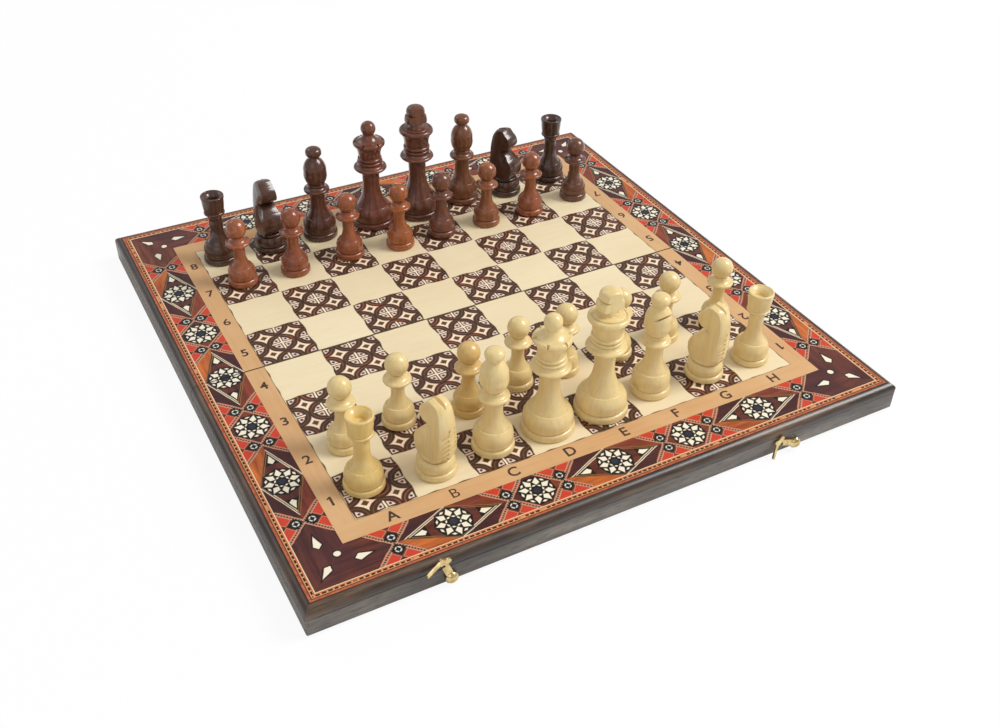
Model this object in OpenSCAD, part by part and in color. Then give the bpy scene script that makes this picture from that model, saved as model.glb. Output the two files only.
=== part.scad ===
// Folding chess board in two hollow halves, with its thirty-two turned and carved pieces.
// The files run along +X, the ranks along +Y, and the halves fold about the seam between ranks 4 and 5.

/* [Board] */
// Side of one square
square_w = 38; // [30:0.5:50]
// Width of the band that carries the coordinates
band_w = 13; // [8:0.5:20]
// Width of the inlaid frieze
frieze_w = 25; // [15:0.5:35]
// Width of the stringing outside the frieze
string_w = 5.5; // [3:0.5:8]
// Width of the rounded moulding seen from above, which is also its radius
moulding_w = 4.5; // [3:0.25:6]
// Height of one half, from its rim to the playing surface
half_h = 18.5; // [16.5:0.5:32]
// Thickness of the side walls at the rim
wall_t = 10; // [8:0.5:14]
// Thickness of the wall along the seam
seam_wall_t = 8; // [6:0.5:12]
// Thickness of the plywood panel
panel_t = 3; // [2:0.25:5]
// Thickness of the veneers and inlays
veneer_t = 1; // [0.6:0.1:1.5]
// Depth of the scribed line below the top of the moulding
scribe_drop = 6.6; // [6.2:0.1:8]

/* [Hinges] */
// Outer radius of the hinge barrel
barrel_r = 1.5; // [1.2:0.1:2]
// Radius of the hinge pin
hinge_pin_r = 0.75; // [0.5:0.05:0.9]
// Length of a hinge along the seam
hinge_w = 25; // [18:0.5:32]
// Height of a hinge leaf above the pin
leaf_h = 12; // [9:0.5:13]
// Thickness of a hinge leaf
leaf_t = 0.9; // [0.7:0.1:1.2]
// Distance of each hinge from the middle of the board
hinge_x = 120; // [90:1:140]

/* [Latches] */
// Distance of each latch from the middle of the board
latch_x = 118; // [80:1:140]
// Height of the hook's pivot above the rim
pivot_h = 4; // [3:0.25:5]
// Distance along the hook from its pivot to its catch notch
hook_reach = 12; // [9:0.1:13]
// Width of the hook's arm
hook_w = 4.4; // [3.6:0.1:5.4]
// Thickness of the hook's sheet
hook_t = 1.2; // [0.8:0.1:1.6]
// Length of the finger tab
tab_len = 9; // [7:0.5:10]
// Angle that the finger tab is bent outwards
tab_bend = 16; // [0:1:25]
// Angle of the left hook from upright
left_hook_turn = 20; // [0:1:170]
// Angle of the right hook from upright
right_hook_turn = 68; // [0:1:68]

/* [Pieces] */
// Height of the king
king_h = 89; // [70:1:110]
// Height of the queen
queen_h = 83; // [66:1:105]
// Height of a bishop
bishop_h = 72; // [60:1:90]
// Height of a knight
knight_h = 54; // [46:1:68]
// Height of a rook
rook_h = 52; // [44:0.5:64]
// Height of a pawn
pawn_h = 50.5; // [42:0.5:62]
// Space between the king's base and the side of its square
king_space = 2.1; // [1.5:0.1:6]
// Radius of a bishop's base
bishop_r = 13; // [10:0.1:14]
// Radius of a knight's base
knight_r = 12.5; // [10:0.1:14]
// Radius of a rook's base
rook_r = 12.3; // [10:0.1:14]
// Radius of a pawn's base
pawn_r = 10.6; // [8:0.1:13]

/* [Hidden] */
$fn = 64;

// The two halves
seam_gap = 0.4;                                   // between the two halves along the seam
rim_clear = 0.15;                                 // the rims stay this far above the hinge axis
field_half = 4 * square_w;
band_out = field_half + band_w;
frieze_out = band_out + frieze_w;
string_out = frieze_out + string_w;
half_side = string_out + moulding_w;
axis_z = barrel_r;
rim_z = axis_z + rim_clear;
top_z = rim_z + half_h;
ledge_h = half_h - panel_t - veneer_t;            // height of the ledge that carries the panel
panel_fit = 0.1;                                  // between the panel or veneer and the moulding
corner_r = 1.5;                                   // softened corners of the box
scribe_r = 0.5;
rim_chamfer = 0.6;

// Hinges
running = 0.05;                                   // pin to bore, on the radius
knuckle_gap = 0.2;
knuckle_w = (hinge_w - 2 * knuckle_gap) / 3;
relief_r = barrel_r + 0.3;                        // the wood is coved round the barrel
mortise_fit = 0.1;
hinge_screw_r = 0.8;
hinge_screw_head_r = 1.6;
hinge_screw_len = 6;
hinge_screw_x = hinge_w / 2 - 5;
hinge_screw_z = axis_z + leaf_h * 0.62;

// Latches
washer_t = 0.5;
hook_play = 0.05;                                 // between the hook and the washer or the head
pivot_r = 1;
pivot_fit = 0.08;
washer_r = 2.2;
pivot_head_r = 3.8;
pivot_head_h = 2.4;
nail_in = 6;                                      // how far the pins are driven into the wood
nail_fit = 0.05;
notch_r = 1.05;
notch_u = -0.9;                                   // sideways place of the notch's round end
stud_neck_r = 0.8;
stud_head_r = 1.8;
stud_shoulder_h = 0.3;
tab_root_r = 1.1;                                 // half the width of the finger tab at its root
tab_tip_r = 0.8;
tab_bend_u = -2;                                  // where the tab starts to bend
eye_r = 2.9;                                      // half the width of the hook round its pivot
beak_r = 2.6;                                     // the hook's round end, above its notch
beak_v = hook_reach + 2.1;
cheek_r = 1.7;                                    // the lobe on the side away from the tab
horn_r = 1.3;                                     // the small point on top
tab_v = hook_reach + stud_head_r + tab_root_r + 0.15;
hook_out = washer_t + 2 * hook_play + hook_t;     // outer face of the hook from the wood
tab_out = washer_t + hook_play + hook_t * cos(tab_bend) + (tab_len + tab_tip_r) * sin(tab_bend);
latch_out = max(tab_out, hook_out + pivot_head_h);
catch_r = norm([notch_u, hook_reach]);
hook_z = rim_z + pivot_h;
stud_z = rim_z + catch_r - pivot_h - 2 * rim_clear;

// Pieces: kinds along the first rank, and how far each piece stands off the centre of its square
files = "abcdefgh";
kinds = ["rook", "knight", "bishop", "queen", "king", "bishop", "knight", "rook"];
white_shift = [[-4, 4.5], [-0.5, -2.5], [0, 0], [-0.5, 0.5], [-1, 0], [-1, 2], [1, -0.5], [0, -0.5]];
black_shift = [[-4.5, 3], [-4.5, 2], [-4, 2.5], [1, 2.5], [0, 0], [1.5, 3], [0, -1.5], [5.5, 3.5]];
white_pawn_shift = [[-1.5, 2.5], [-2, 7.5], [2.5, -1.5], [3, 7], [-1.5, 6], [0, 5], [0.5, 6.5], [3.5, 4.5]];
black_pawn_shift = [[0, 4.5], [0, 1.5], [5, 4], [5.5, 0], [2.5, 1.5], [2, 0.5], [2, 0], [6.5, 5]];
white_knight_turn = [106, 108];
black_knight_turn = [-85, -65];
king_r = square_w / 2 - king_space;
queen_r = king_r - 0.3;
groove_t = 0.7;                                   // height of the groove above each base disc
groove_in = 1.3;                                  // depth of that groove
lap = 0.05;                                       // how far one turned member runs into the next

white_wood = [0.93, 0.87, 0.70];
black_wood = [0.33, 0.17, 0.10];
moulding_wood = [0.22, 0.18, 0.16];
plain_wood = [0.80, 0.66, 0.45];
brass = [0.83, 0.70, 0.38];

function piece_name(side, kind, file) =
    kind == "king" || kind == "queen" ? str(side, "_", kind) : str(side, "_", kind, "_", files[file]);

BOARD_NODES = [
    "white_front_rail", "white_left_rail", "white_right_rail", "white_seam_rail", "white_panel",
    "white_field", "white_band", "white_frieze", "white_stringing",
    "black_back_rail", "black_left_rail", "black_right_rail", "black_seam_rail", "black_panel",
    "black_field", "black_band", "black_frieze", "black_stringing",
    "white_hinge_leaves", "black_hinge_leaves", "hinge_pins", "white_hinge_screws",
    "black_hinge_screws", "latch_pivots", "left_hook", "right_hook", "catch_studs"
];
PIECE_NODES = [
    for (side = ["white", "black"], i = [0 : 7], row = [0, 1])
        piece_name(side, row == 0 ? kinds[i] : "pawn", i)
];

// ---------- the two halves ----------

// The sector that one side of a mitred frame keeps, opening towards +X.
module mitre_sector() {
    reach = half_side + 1;
    polygon([[0, 0], [reach, -reach], [reach, reach]]);
}

// Section of a side wall: distance from the middle of the board, height above the rim.
module rail_section() {
    difference() {
        union() {
            translate([half_side - wall_t, 0]) square([wall_t, ledge_h]);
            translate([string_out, 0]) square([moulding_w, half_h - moulding_w]);
            intersection() {
                translate([string_out, half_h - moulding_w]) circle(moulding_w);
                translate([string_out, half_h - moulding_w]) square(moulding_w);
            }
        }
        translate([half_side, half_h - scribe_drop]) circle(scribe_r);
        translate([half_side - rim_chamfer, 0])
            polygon([[0, 0], [rim_chamfer, 0], [rim_chamfer, rim_chamfer]]);
    }
}

// A mitred side wall whose outer face looks towards +X, from y0 to y1.
module rail(y0, y1) {
    intersection() {
        translate([0, y1, rim_z]) rotate([90, 0, 0]) linear_extrude(y1 - y0) rail_section();
        translate([0, 0, rim_z]) linear_extrude(half_h) mitre_sector();
        translate([0, 0, rim_z]) linear_extrude(half_h) softened_square();
    }
}

module softened_square() {
    inset = half_side - corner_r;
    square([2 * inset, 2 * half_side], center = true);
    square([2 * half_side, 2 * inset], center = true);
    for (x = [-inset, inset], y = [-inset, inset]) translate([x, y]) circle(corner_r);
}

module front_rail() {
    color(moulding_wood) rotate(-90) difference() {
        rail(-half_side, half_side);
        for (side = [-1, 1]) translate([half_side - nail_in, side * latch_x, hook_z])
            rotate([0, 90, 0]) cylinder(r = pivot_r + nail_fit, h = nail_in + 1);
    }
}

module back_rail() {
    color(moulding_wood) rotate(90) difference() {
        rail(-half_side, half_side);
        for (side = [-1, 1]) translate([half_side - nail_in, side * latch_x, stud_z])
            rotate([0, 90, 0]) cylinder(r = stud_neck_r + nail_fit, h = nail_in + 1);
    }
}

module right_rail() {
    color(moulding_wood) rail(-half_side, -seam_gap / 2);
}

module left_rail() {
    color(moulding_wood) rotate(180) rail(seam_gap / 2, half_side);
}

// The wall along the seam, with its two hinge mortises and their screw holes.
module seam_rail() {
    inner = half_side - wall_t;
    color(plain_wood) difference() {
        translate([-inner, -seam_gap / 2 - seam_wall_t, rim_z]) cube([2 * inner, seam_wall_t, ledge_h]);
        for (x = [-hinge_x, hinge_x]) translate([x, 0, axis_z]) {
            translate([-hinge_w / 2 - mortise_fit, -seam_gap / 2 - leaf_t - running, -1])
                cube([hinge_w + 2 * mortise_fit, leaf_t + 1, leaf_h + 1 + mortise_fit]);
            translate([-hinge_w / 2 - mortise_fit, 0, 0]) rotate([0, 90, 0])
                cylinder(r = relief_r, h = hinge_w + 2 * mortise_fit);
        }
        hinge_screw_places() translate([0, 0, -hinge_screw_len - nail_fit])
            cylinder(r = hinge_screw_r + nail_fit, h = hinge_screw_len + 1);
    }
}

module panel() {
    edge = string_out - panel_fit;
    color(plain_wood) translate([-edge, -edge, rim_z + ledge_h])
        cube([2 * edge, edge - seam_gap / 2, panel_t]);
}

module field() {
    color(white_wood) translate([-field_half, -field_half, top_z - veneer_t])
        cube([2 * field_half, field_half - seam_gap / 2, veneer_t]);
}

// Three mitred strips of veneer round the white half, from d0 to d1 off the middle.
module border(d0, d1) {
    translate([0, 0, top_z - veneer_t]) linear_extrude(veneer_t) {
        rotate(-90) border_strip(d0, d1, -half_side, half_side);
    }
    translate([0, 0, top_z - veneer_t]) linear_extrude(veneer_t)
        border_strip(d0, d1, -half_side, -seam_gap / 2);
    translate([0, 0, top_z - veneer_t]) linear_extrude(veneer_t)
        rotate(180) border_strip(d0, d1, seam_gap / 2, half_side);
}

module border_strip(d0, d1, y0, y1) {
    intersection() {
        mitre_sector();
        translate([d0, y0]) square([d1 - d0, y1 - y0]);
    }
}

module band() {
    color("peru") border(field_half, band_out);
}

module frieze() {
    color([0.45, 0.24, 0.18]) border(band_out, frieze_out);
}

module stringing() {
    color([0.85, 0.50, 0.32]) border(frieze_out, string_out - panel_fit);
}

// ---------- hinges ----------

// The screws of the white half's leaves; their own Z points out of the seam face.
module hinge_screw_places() {
    for (x = [-hinge_x, hinge_x], dx = [-hinge_screw_x, hinge_screw_x])
        translate([x + dx, -seam_gap / 2, hinge_screw_z]) rotate([-90, 0, 0]) children();
}

module countersink(gap) {
    head_h = hinge_screw_head_r - hinge_screw_r;
    translate([0, 0, -head_h - gap])
        cylinder(r1 = hinge_screw_r, r2 = hinge_screw_head_r + gap, h = head_h + gap);
}

module hinge_screws() {
    color(brass) hinge_screw_places() difference() {
        union() {
            countersink(0);
            translate([0, 0, -hinge_screw_len]) cylinder(r = hinge_screw_r, h = hinge_screw_len);
        }
        translate([-hinge_screw_head_r, -0.2, -0.4]) cube([2 * hinge_screw_head_r, 0.4, 1]);
    }
}

module barrel(x0, length, r) {
    translate([x0, 0, 0]) rotate([0, 90, 0]) cylinder(r = r, h = length);
}

// One leaf on the white side, with knuckles at the starts listed and gaps for the others.
module hinge_leaf(own, others) {
    difference() {
        union() {
            translate([-hinge_w / 2, -seam_gap / 2 - leaf_t, rim_clear])
                cube([hinge_w, leaf_t, leaf_h - rim_clear]);
            for (x = own) barrel(x, knuckle_w, barrel_r);
        }
        for (x = others)
            barrel(x - knuckle_gap, knuckle_w + 2 * knuckle_gap, barrel_r + knuckle_gap);
        barrel(-hinge_w, 2 * hinge_w, hinge_pin_r + running);
    }
}

knuckle_starts = [for (i = [0 : 2]) -hinge_w / 2 + i * (knuckle_w + knuckle_gap)];

module hinge_leaves(own, others) {
    color(brass) difference() {
        for (x = [-hinge_x, hinge_x]) translate([x, 0, axis_z]) hinge_leaf(own, others);
        hinge_screw_places() {
            countersink(running);
            translate([0, 0, -leaf_t - 1]) cylinder(r = hinge_screw_r + running, h = leaf_t + 2);
        }
    }
}

module hinge_pins() {
    color(brass) for (x = [-hinge_x, hinge_x]) translate([x, 0, axis_z])
        barrel(-hinge_w / 2, hinge_w, hinge_pin_r);
}

// ---------- latches ----------

// Outline of a hook that points up from its pivot, without its finger tab.
module hook_outline() {
    difference() {
        union() {
            circle(eye_r);
            translate([-hook_w / 2, 0]) square([hook_w, beak_v]);
            translate([0.3, beak_v]) circle(beak_r);
            translate([beak_r + 0.3, beak_v - 0.2]) circle(cheek_r);
            translate([-horn_r - 0.3, beak_v]) square([2 * horn_r, beak_r]);
            translate([-0.3, beak_v + beak_r]) circle(horn_r);
        }
        translate([notch_u, hook_reach]) circle(notch_r);
        translate([-10, hook_reach - notch_r]) square([10 + notch_u, 2 * notch_r]);
        circle(pivot_r + pivot_fit);
    }
}

module tab_outline() {
    r0 = tab_root_r;
    r1 = tab_tip_r;
    polygon([[0.5, -r0], [0.5, r0], [-tab_len, r1], [-tab_len, -r1]]);
    translate([-tab_len, 0]) circle(r1);
}

// A swing hook on the front face; a hook turns from upright towards -X.
module hook(x, turn) {
    color(brass) translate([x, -half_side - washer_t - hook_play, hook_z]) rotate([0, -turn, 0]) {
        rotate([90, 0, 0]) linear_extrude(hook_t) hook_outline();
        translate([tab_bend_u, 0, tab_v]) rotate([0, 0, tab_bend]) rotate([90, 0, 0])
            linear_extrude(hook_t) tab_outline();
    }
}

// A domed head whose flat face lies at z = 0.
module dome(r, h) {
    ball_r = (r * r + h * h) / (2 * h);
    intersection() {
        translate([0, 0, h - ball_r]) sphere(ball_r);
        cylinder(r = r, h = h);
    }
}

module latch_pivots() {
    color(brass) for (x = [-latch_x, latch_x]) translate([x, -half_side, hook_z]) rotate([90, 0, 0]) {
        translate([0, 0, -nail_in]) cylinder(r = pivot_r, h = nail_in + hook_out);
        cylinder(r = washer_r, h = washer_t);
        translate([0, 0, hook_out]) dome(pivot_head_r, pivot_head_h);
    }
}

module catch_studs() {
    color(brass) for (x = [-latch_x, latch_x]) translate([x, half_side, stud_z]) rotate([-90, 0, 0]) {
        translate([0, 0, -nail_in]) cylinder(r = stud_neck_r, h = nail_in + hook_out);
        translate([0, 0, hook_out]) cylinder(r = stud_head_r, h = stud_shoulder_h);
        translate([0, 0, hook_out + stud_shoulder_h])
            dome(stud_head_r, latch_out - hook_out - stud_shoulder_h);
    }
}

// ---------- turned profiles: x is the radius, y the height ----------

// Radius of the arc that leaves a vertical line and has moved d sideways after h.
function arc_r(d, h) = (d * d + h * h) / (2 * d);

// Every member starts a lap lower than z0, inside the one below it.

// A disc with a rounded rim.
module disc(r, z0, z1, soft) {
    intersection() {
        union() {
            translate([0, z0]) square([r - soft, z1 - z0]);
            translate([0, z0 + soft]) square([r, z1 - z0 - 2 * soft]);
            translate([r - soft, z0 + soft]) circle(soft);
            translate([r - soft, z1 - soft]) circle(soft);
        }
        translate([0, z0 - r]) square([2 * r, z1 - z0 + 2 * r]);
    }
}

// Hollow sweep that narrows upwards from r0 to r1.
module sweep_in(r0, z0, r1, z1) {
    a = arc_r(r0 - r1, z1 - z0);
    difference() {
        translate([0, z0 - lap]) square([r0, z1 - z0 + lap]);
        translate([r1 + a, z1]) circle(a);
    }
}

// Hollow sweep that widens upwards from r0 to r1.
module sweep_out(r0, z0, r1, z1) {
    a = arc_r(r1 - r0, z1 - z0);
    difference() {
        translate([0, z0 - lap]) square([r1, z1 - z0 + lap]);
        translate([r0 + a, z0]) circle(a);
    }
}

// Rounded shoulder that narrows upwards from r0 to r1.
module shoulder(r0, z0, r1, z1) {
    a = arc_r(r0 - r1, z1 - z0);
    intersection() {
        translate([0, z0 - lap]) square([r0 + lap, z1 - z0 + lap]);
        translate([r0 - a, z0]) circle(a);
    }
    translate([0, z0 - lap]) square([r1 - lap, z1 - z0 + lap]);
}

// Rounded belly that widens upwards from r0 to r1.
module belly(r0, z0, r1, z1) {
    a = arc_r(r1 - r0, z1 - z0);
    intersection() {
        translate([0, z0 - lap]) square([r1 + lap, z1 - z0 + lap]);
        translate([r1 - a, z1]) circle(a);
    }
    translate([0, z0 - lap]) square([r0 - lap, z1 - z0 + lap]);
}

module cone_section(r0, z0, r1, z1) {
    polygon([[0, z0], [r0, z0], [r1, z1], [0, z1]]);
}

// The foot of every piece: base disc, groove and skirt, up to the radius top_r at top_h.
module foot(r, disc_h, top_r, top_h) {
    skirt_z = disc_h + groove_t;
    skirt_r = r - 0.8;
    wide_z = skirt_z + (top_h - skirt_z) * 0.15;
    disc(r, 0, disc_h, min(1.4, disc_h / 3));
    translate([0, disc_h - lap]) square([r - groove_in, groove_t + lap]);
    belly(skirt_r - 0.4, skirt_z, skirt_r, wide_z);
    shoulder(skirt_r - lap, wide_z, top_r, top_h);
}

// A neck between the foot and a collar, slightly flared at its top.
module neck(r0, z0, r, z1, z2, r2) {
    sweep_in(r0, z0, r, z1);
    sweep_out(r - lap, z1, r2, z2);
}

module pawn() {
    h = pawn_h;
    head_r = 0.14 * h;
    collar_r = 0.17 * h;
    rotate_extrude() {
        foot(pawn_r, 0.10 * h, 0.66 * pawn_r, 0.29 * h);
        neck(0.61 * pawn_r, 0.29 * h, 0.082 * h, 0.50 * h, 0.625 * h, 0.11 * h);
        disc(collar_r, 0.62 * h, 0.675 * h, 0.022 * h);
        sweep_in(0.86 * collar_r, 0.67 * h, 0.085 * h, 0.75 * h);
        intersection() {
            translate([0, h - head_r]) circle(head_r);
            translate([0, 0.7 * h]) square([2 * head_r, 0.4 * h]);
        }
    }
}

module rook() {
    h = rook_h;
    rim_r = 0.157 * h;
    bowl_r = 0.13 * h;
    bowl_d = 0.095 * h;
    difference() {
        rotate_extrude() {
            foot(rook_r, 0.10 * h, 0.70 * rook_r, 0.30 * h);
            neck(0.66 * rook_r, 0.30 * h, 0.092 * h, 0.55 * h, 0.73 * h, 0.115 * h);
            disc(0.142 * h, 0.72 * h, 0.767 * h, 0.019 * h);
            cone_section(0.134 * h, 0.762 * h, rim_r, 0.985 * h);
            disc(rim_r, 0.96 * h, h, 0.012 * h);
        }
        translate([0, 0, h - bowl_d + arc_r(bowl_d, bowl_r)]) sphere(arc_r(bowl_d, bowl_r));
    }
}

module bishop() {
    h = bishop_h;
    mitre_r = 0.115 * h;
    difference() {
        rotate_extrude() {
            foot(bishop_r, 0.075 * h, 0.70 * bishop_r, 0.235 * h);
            neck(0.66 * bishop_r, 0.235 * h, 0.077 * h, 0.42 * h, 0.52 * h, 0.10 * h);
            disc(0.131 * h, 0.515 * h, 0.555 * h, 0.018 * h);
            sweep_in(0.108 * h, 0.55 * h, 0.082 * h, 0.585 * h);
            disc(0.09 * h, 0.58 * h, 0.605 * h, 0.011 * h);
            belly(0.084 * h, 0.60 * h, mitre_r, 0.735 * h);
            shoulder(mitre_r - lap, 0.735 * h, 0.058 * h, 0.885 * h);
            translate([0, 0.88 * h]) square([0.055 * h, 0.03 * h]);
            disc(0.075 * h, 0.90 * h, h, 0.049 * h);
        }
        translate([0.045 * h, 0, 0.80 * h]) rotate([0, -35, 0])
            translate([0, -mitre_r - 1, -0.6]) cube([mitre_r + 4, 2 * mitre_r + 2, 1.2]);
    }
}

// The crowned top of the king or queen on a double collar, from z0 to z1: neck radius n,
// collar radius c, crown radius at its foot r0 and at its rim r1.
module royal_top(n, c, r0, r1, z0, z1) {
    s = (z1 - z0) / 24;
    sweep_out(n, z0 - 5.5 * s, 1.3 * n, z0);
    disc(c, z0 - lap, z0 + 3 * s, 1.4 * s);
    sweep_in(0.9 * c, z0 + 2.9 * s, 0.74 * c, z0 + 5.2 * s);
    disc(0.78 * c, z0 + 5 * s, z0 + 7.6 * s, 1.2 * s);
    translate([0, z0 + 7.5 * s]) square([r0, s]);
    disc(r0 + 0.7 * s, z0 + 8 * s, z0 + 10.4 * s, 0.8 * s);
    sweep_in(r0 + 0.6 * s, z0 + 10.3 * s, r0, z0 + 12.5 * s);
    sweep_out(r0 - lap, z0 + 12.5 * s, 0.98 * r1, z0 + 22 * s);
    disc(r1, z0 + 21.8 * s, z1, 0.9 * s);
}

module queen() {
    h = queen_h;
    neck_r = 0.078 * h;
    rim_r = 0.142 * h;
    rim_z = 0.82 * h;
    ball_r = 0.067 * h;
    points = 6;
    notch_w = 0.05 * h;
    notch_d = 0.065 * h;
    difference() {
        rotate_extrude() {
            foot(queen_r, 0.063 * h, 0.70 * queen_r, 0.21 * h);
            sweep_in(0.67 * queen_r, 0.21 * h, neck_r, 0.46 * h);
            translate([0, 0.455 * h]) square([neck_r, 0.04 * h]);
            royal_top(neck_r, 0.148 * h, 0.1 * h, rim_r, 0.545 * h, rim_z);
            sweep_in(0.9 * rim_r, rim_z, 0.045 * h, 0.885 * h);
            intersection() {
                translate([0, h - ball_r]) circle(ball_r);
                translate([0, 0.86 * h]) square([2 * ball_r, 0.2 * h]);
            }
        }
        for (i = [0 : points - 1]) rotate(i * 360 / points - 75)
            translate([0.86 * rim_r, 0, rim_z + 1]) rotate([0, 90, 0])
                linear_extrude(rim_r) polygon([[0, -notch_w / 2], [0, notch_w / 2], [notch_d + 1, 0]]);
    }
}

module king() {
    h = king_h;
    neck_r = 0.072 * h;
    rim_r = 0.142 * h;
    rim_z = 0.80 * h;
    rotate_extrude() {
        foot(king_r, 0.064 * h, 0.70 * king_r, 0.205 * h);
        sweep_in(0.67 * king_r, 0.205 * h, neck_r, 0.45 * h);
        translate([0, 0.445 * h]) square([neck_r, 0.04 * h]);
        royal_top(neck_r, rim_r - lap, 0.103 * h, rim_r, 0.53 * h, rim_z);
        disc(0.095 * h, rim_z - lap, 0.81 * h, 0.004 * h);
    }
    king_finial(h, rim_z);
}

// A stub cross: a turned knob flattened front and back and notched at both sides.
module king_finial(h, z0) {
    arm_r = 0.095 * h;
    top_r = 0.072 * h;
    flat_t = 0.115 * h;
    notch_r = 0.014 * h;
    arm_z = 0.85 * h;
    cleft_z = 0.92 * h;
    difference() {
        intersection() {
            rotate_extrude() {
                cone_section(0.078 * h, z0, 0.058 * h, arm_z);
                disc(arm_r, arm_z - lap, cleft_z, 0.022 * h);
                translate([0, cleft_z - 0.02 * h]) square([0.055 * h, 0.03 * h]);
                intersection() {
                    disc(top_r, cleft_z + lap, h + 0.03 * h, 0.01 * h);
                    translate([0, h - arc_r(0.03 * h, top_r)]) circle(arc_r(0.03 * h, top_r));
                }
            }
            translate([-h / 2, -flat_t / 2, 0]) cube([h, flat_t, 2 * h]);
        }
        for (side = [-1, 1]) translate([side * 0.9 * arm_r, h / 2, cleft_z])
            rotate([90, 0, 0]) cylinder(r = notch_r, h = h);
    }
}

// The turned blank that a knight is carved from, for a height of 54.
module knight_blank() {
    rotate_extrude() {
        belly(10, 13.4, 12.5, 24);
        shoulder(12.5 - lap, 24, 11.2, 44);
        shoulder(11.2 - lap, 44, 8.4, 51);
        shoulder(8.4 - lap, 51, 3, 54);
    }
}

// Side outline of the same, facing +X: round chest, throat, muzzle and sloping face.
module knight_side() {
    chest = [-1.4, 22.8];
    chest_r = 11.4;
    jaw_z = 37.8;
    muzzle = [4.9, 40.2];
    translate(chest) circle(chest_r);
    polygon([[-20, 12.5], [4, 12.5], [6, 30], [4.2, 34], [0.6, 36.4], [-1, jaw_z + 1], [-20, 50]]);
    translate(muzzle) circle(muzzle[1] - jaw_z);
    polygon([[-20, 60], [0.2, 60], [1.2, 53], [7.1, 43.5], [7.3, 40.2], [4.9, jaw_z], [-1, jaw_z],
        [-20, jaw_z - 1]]);
}

// Front outline: flat cheeks that lean in towards the ears.
module knight_front() {
    polygon([[-8, 10], [8, 10], [7.6, 28], [5, 56], [-5, 56], [-7.6, 28]]);
}

module knight_head() {
    cleft_w = 8;
    cleft_d = 8.6;
    difference() {
        intersection() {
            knight_blank();
            rotate([90, 0, 0]) translate([0, 0, -20]) linear_extrude(40) knight_side();
            rotate([90, 0, 90]) translate([0, 0, -20]) linear_extrude(40) knight_front();
        }
        // cleft between the ears, open towards the nape
        translate([-20, 0, 58]) rotate([0, 100, 0]) linear_extrude(24)
            polygon([[-4, -cleft_w / 2], [-4, cleft_w / 2], [cleft_d - 4, 0]]);
    }
}

module knight() {
    s = knight_h / 54;
    rotate_extrude() {
        foot(knight_r, 5.2 * s, 0.72 * knight_r, 12.5 * s);
        disc(0.7 * knight_r, 12.4 * s, 14 * s, 0.6 * s);
    }
    scale(s) knight_head();
}

module piece(kind) {
    if (kind == "king") king();
    if (kind == "queen") queen();
    if (kind == "bishop") bishop();
    if (kind == "knight") knight();
    if (kind == "rook") rook();
    if (kind == "pawn") pawn();
}

// A piece on its square: file and rank count from 0.
module standing(kind, file, rank, shift, turn = 0) {
    translate([(file - 3.5) * square_w + shift[0], (rank - 3.5) * square_w + shift[1], top_z])
        rotate(turn) piece(kind);
}

function knight_turn(turns, file) = kinds[file] != "knight" ? 0 : turns[file == 1 ? 0 : 1];

// ---------- what each node draws ----------

front_rail();  // white_front_rail
left_rail();  // white_left_rail
right_rail();  // white_right_rail
seam_rail();  // white_seam_rail
panel();  // white_panel
field();  // white_field
band();  // white_band
frieze();  // white_frieze
stringing();  // white_stringing
back_rail();  // black_back_rail
rotate(180) right_rail();  // black_left_rail
rotate(180) left_rail();  // black_right_rail
rotate(180) seam_rail();  // black_seam_rail
rotate(180) panel();  // black_panel
rotate(180) field();  // black_field
rotate(180) band();  // black_band
rotate(180) frieze();  // black_frieze
rotate(180) stringing();  // black_stringing
hinge_leaves([knuckle_starts[0], knuckle_starts[2]], [knuckle_starts[1]]);  // white_hinge_leaves
rotate(180) hinge_leaves([knuckle_starts[1]], [knuckle_starts[0], knuckle_starts[2]]);  // black_hinge_leaves
hinge_pins();
hinge_screws();  // white_hinge_screws
rotate(180) hinge_screws();  // black_hinge_screws
latch_pivots();
hook(-latch_x, left_hook_turn);  // left_hook
hook(latch_x, right_hook_turn);  // right_hook
catch_studs();
for (i = [0 : 7]) {
    color(white_wood) standing(kinds[i], i, 0, white_shift[i], knight_turn(white_knight_turn, i));
    color(white_wood) standing("pawn", i, 1, white_pawn_shift[i]);
    color(black_wood) standing(kinds[i], i, 7, black_shift[i], knight_turn(black_knight_turn, i));
    color(black_wood) standing("pawn", i, 6, black_pawn_shift[i]);
}
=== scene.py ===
import math

import bpy
from mathutils import Matrix, Vector


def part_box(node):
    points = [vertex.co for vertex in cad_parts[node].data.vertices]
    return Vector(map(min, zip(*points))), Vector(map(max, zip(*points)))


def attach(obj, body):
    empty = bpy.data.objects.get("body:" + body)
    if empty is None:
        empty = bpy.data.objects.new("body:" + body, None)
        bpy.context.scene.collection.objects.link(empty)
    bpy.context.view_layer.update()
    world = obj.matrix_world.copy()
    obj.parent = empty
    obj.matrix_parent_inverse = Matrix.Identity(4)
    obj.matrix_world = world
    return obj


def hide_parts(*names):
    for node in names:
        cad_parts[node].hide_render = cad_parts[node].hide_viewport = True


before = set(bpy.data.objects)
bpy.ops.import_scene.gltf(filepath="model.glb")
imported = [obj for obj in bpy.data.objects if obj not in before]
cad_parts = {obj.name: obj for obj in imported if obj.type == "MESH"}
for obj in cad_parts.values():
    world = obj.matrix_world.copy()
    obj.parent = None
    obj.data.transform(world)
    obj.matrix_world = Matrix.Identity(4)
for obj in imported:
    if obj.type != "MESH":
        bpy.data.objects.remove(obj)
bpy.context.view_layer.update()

MM = 0.001

# ---------------------------------------- sizes, from the frame

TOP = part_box("white_field")[1].z
FIELD_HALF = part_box("white_field")[1].x
SQUARES_OUT = 4                          # squares from the middle of the board to the edge of the field
SQUARE = FIELD_HALF / SQUARES_OUT
BAND_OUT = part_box("white_band")[1].x
FRIEZE_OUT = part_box("white_frieze")[1].x
FILES = "abcdefgh"


# ---------------------------------------- shader helpers


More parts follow.
